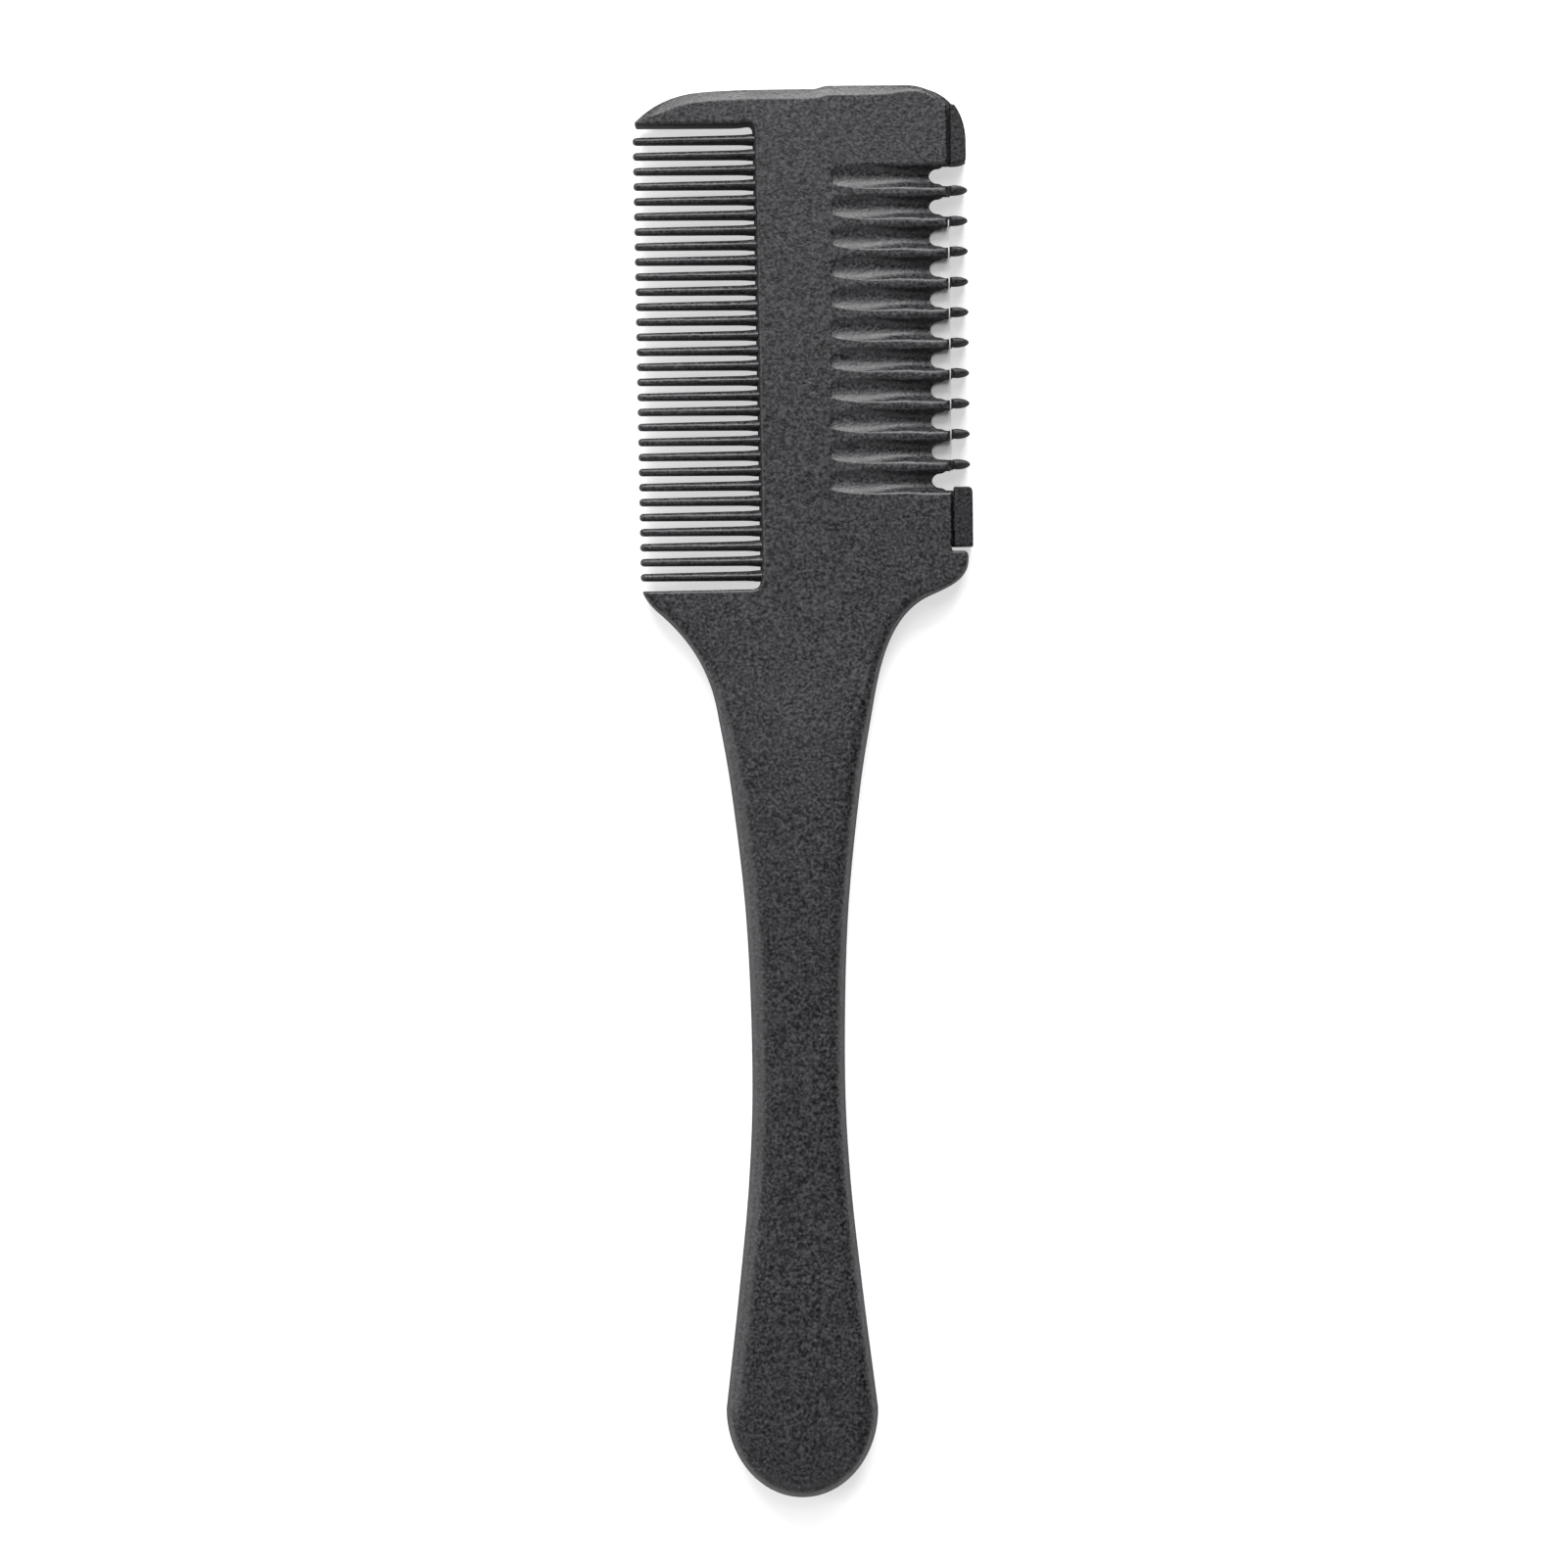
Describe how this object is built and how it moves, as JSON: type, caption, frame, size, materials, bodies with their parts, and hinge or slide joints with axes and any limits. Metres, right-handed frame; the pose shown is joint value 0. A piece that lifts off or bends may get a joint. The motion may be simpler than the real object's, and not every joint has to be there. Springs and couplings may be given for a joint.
{
  "type": "hair comb",
  "caption": "Two-sided hair comb with fine teeth, a guarded razor blade behind a hinged cover, and a long waisted handle.",
  "frame": {"origin": "centre of the comb's outline, on the plane of its back", "axes": "+Y from the handle to the head, +X towards the razor side, +Z out of the front face"},
  "size_m": [0.0524, 0.2197, 0.007],
  "materials": {
    "body_plastic": "black, fine spark texture",
    "cover_plastic": "black, fine spark texture",
    "pin_metal": "blackened steel",
    "blade_steel": "fine brushed, bright ground edges"
  },
  "bodies": {
    "comb": {"comb_body": "body_plastic", "hinge_pin": "pin_metal", "razor_blade": "blade_steel"},
    "cover": {"blade_cover": "cover_plastic"}
  },
  "joints": [
    {"name": "cover_hinge", "type": "hinge", "parent": "comb", "child": "cover", "pos_m": [-0.00142, 0.0702, 0.0016], "axis": [0, 1, 0], "range_deg": [0, 120]}
  ]
}
